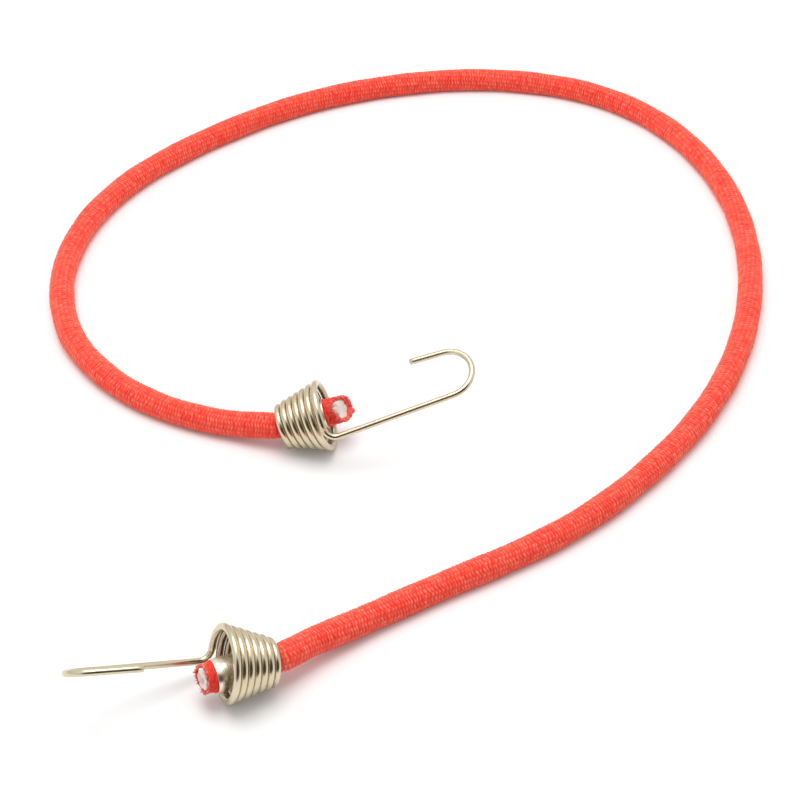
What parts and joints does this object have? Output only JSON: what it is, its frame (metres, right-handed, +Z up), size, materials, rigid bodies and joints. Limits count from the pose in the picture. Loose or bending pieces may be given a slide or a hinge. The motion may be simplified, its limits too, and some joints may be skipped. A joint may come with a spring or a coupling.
{
  "type": "bungee cord",
  "caption": "Elastic cord in a braided red sheath, with a wire hook at each end whose conical coil is threaded on the cord and stopped by a crimped metal ferrule.",
  "frame": {"origin": "centre of the laid-out cord's box, on the surface it lies on", "axes": "+Z up from that surface, +Y along the loop from the hooks' side to its far bend, +X across the loop"},
  "size_m": [0.118, 0.1631, 0.0147],
  "materials": {
    "sheath": "matt braided yarn",
    "core": "matt pale rubber",
    "wire": "bright plated wire",
    "ferrule": "plated sheet metal"
  },
  "bodies": {
    "cord": {"sheath_middle": "sheath", "core_middle": "core", "sheath_run_a": "sheath", "core_run_a": "core", "sheath_run_b": "sheath", "core_run_b": "core"},
    "end_a": {"sheath_tip_a": "sheath", "core_tip_a": "core", "ferrule_a": "ferrule"},
    "hook_a": {"hook_a": "wire"},
    "end_b": {"sheath_tip_b": "sheath", "core_tip_b": "core", "ferrule_b": "ferrule"},
    "hook_b": {"hook_b": "wire"}
  },
  "joints": [
    {"name": "stretch_a", "type": "slide", "parent": "cord", "child": "end_a", "axis": [0.9956, 0.0941, 0], "range_m": [0, 0.03], "stiffness_N_per_m": 120, "deforming": ["sheath_run_a", "core_run_a"]},
    {"name": "swivel_a", "type": "hinge", "parent": "end_a", "child": "hook_a", "pos_m": [-0.01236, -0.02085, 0.00536], "axis": [0.9531, 0.015, 0.3024], "continuous": true},
    {"name": "stretch_b", "type": "slide", "parent": "cord", "child": "end_b", "axis": [-0.866, -0.5, 0], "range_m": [0, 0.034], "stiffness_N_per_m": 120, "deforming": ["sheath_run_b", "core_run_b"]},
    {"name": "swivel_b", "type": "hinge", "parent": "end_b", "child": "hook_b", "pos_m": [-0.02497, -0.07233, 0.00539], "axis": [-0.9279, -0.2837, 0.2419], "continuous": true}
  ]
}
